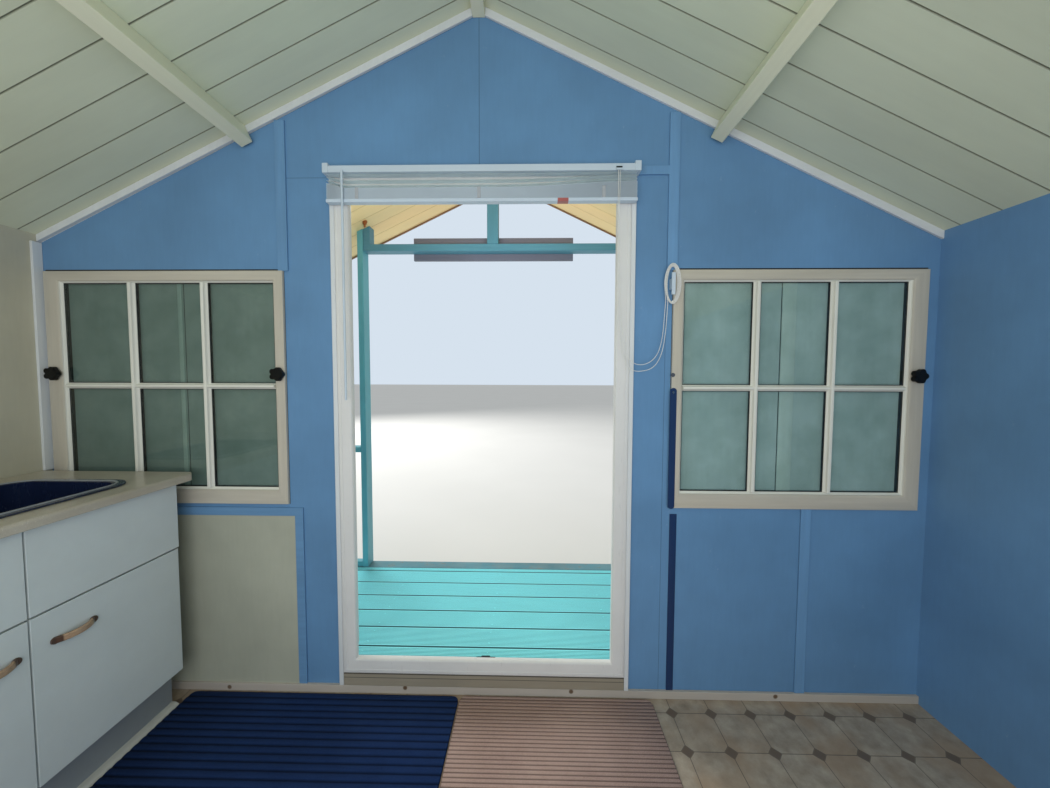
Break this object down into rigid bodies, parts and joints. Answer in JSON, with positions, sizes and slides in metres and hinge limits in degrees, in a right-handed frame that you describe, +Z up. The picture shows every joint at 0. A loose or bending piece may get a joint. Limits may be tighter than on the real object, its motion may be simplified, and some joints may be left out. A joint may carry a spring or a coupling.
{
  "type": "beach hut",
  "caption": "Timber beach hut with a gable roof, open front veranda, glazed front windows, folded-back doors, raised doorway blind and a fitted sink unit with hinged doors.",
  "frame": {"origin": "centre of the bounding box on the ground, under the middle of the roof", "axes": "+Z up; the veranda and doorway face -Y; +X is the side of the fitted sink unit"},
  "size_m": [3.956, 3.798, 2.9426],
  "materials": {
    "turquoise_paint": "satin",
    "blue_paint": "satin",
    "white_paint": "satin",
    "edge_paint": "matt",
    "bare_pine": "matt",
    "treated_timber": "matt",
    "bare_board": "matt",
    "felt": "matt",
    "floor_vinyl": "matt",
    "mat_ribbed": "matt",
    "white_frame": "gloss",
    "cream_frame": "satin",
    "glass": "gloss",
    "knob_black": "satin",
    "blind_white": "satin",
    "cord_white": "matt",
    "board_brown": "matt",
    "unit_white": "satin",
    "worktop_laminate": "satin",
    "sink_navy": "gloss",
    "pin_steel": "satin",
    "handle_tan": "satin"
  },
  "bodies": {
    "hut": {"bearers": "treated_timber", "floor_joists": "treated_timber", "floor_boards": "bare_pine", "floor_covering": "floor_vinyl", "floor_mats": "mat_ribbed", "front_wall_left": "blue_paint", "front_wall_right": "blue_paint", "front_gable": "blue_paint", "side_wall_left": "blue_paint", "side_wall_right": "white_paint", "rear_wall": "blue_paint", "wall_battens": "blue_paint", "lower_panel": "bare_board", "inside_trims": "white_paint", "wall_foot_strips": "bare_pine", "roof_boards_left": "white_paint", "roof_boards_right": "white_paint", "roof_felt": "felt", "eaves_fascias": "turquoise_paint", "verge_trims": "treated_timber", "ridge_board": "white_paint", "purlins": "white_paint", "door_sill": "bare_pine", "door_frame": "white_frame", "door_leaf_left": "white_frame", "door_leaf_right": "white_frame", "window_frame_left": "cream_frame", "window_frame_right": "cream_frame", "glass_panes": "glass", "window_shutters": "turquoise_paint", "window_knobs": "knob_black", "blind_headrail": "blind_white", "blind_slats": "blind_white", "blind_bottom_rail": "blind_white", "tilt_wand": "blind_white", "lift_cord_a": "cord_white", "lift_cord_b": "cord_white", "cord_winding": "cord_white", "cord_cleat": "blind_white", "veranda_deck": "turquoise_paint", "deck_edge_board": "edge_paint", "veranda_posts": "turquoise_paint", "tie_beam": "turquoise_paint", "king_post": "turquoise_paint", "railings": "turquoise_paint", "name_board": "board_brown", "unit_carcass": "unit_white", "false_fronts": "unit_white", "worktop": "worktop_laminate", "sink_bowl": "sink_navy", "pivot_hinges": "pin_steel"},
    "far_door": {"cupboard_door_far": "unit_white", "far_door_handle": "handle_tan"},
    "near_door": {"cupboard_door_near": "unit_white", "near_door_handle": "handle_tan"}
  },
  "joints": [
    {"name": "far_door_hinge", "type": "hinge", "parent": "hut", "child": "far_door", "pos_m": [1.179, -0.492, 0.35], "axis": [0, 0, 1], "range_deg": [0, 90]},
    {"name": "near_door_hinge", "type": "hinge", "parent": "hut", "child": "near_door", "pos_m": [1.179, 0.371, 0.35], "axis": [0, 0, -1], "range_deg": [0, 110]}
  ]
}
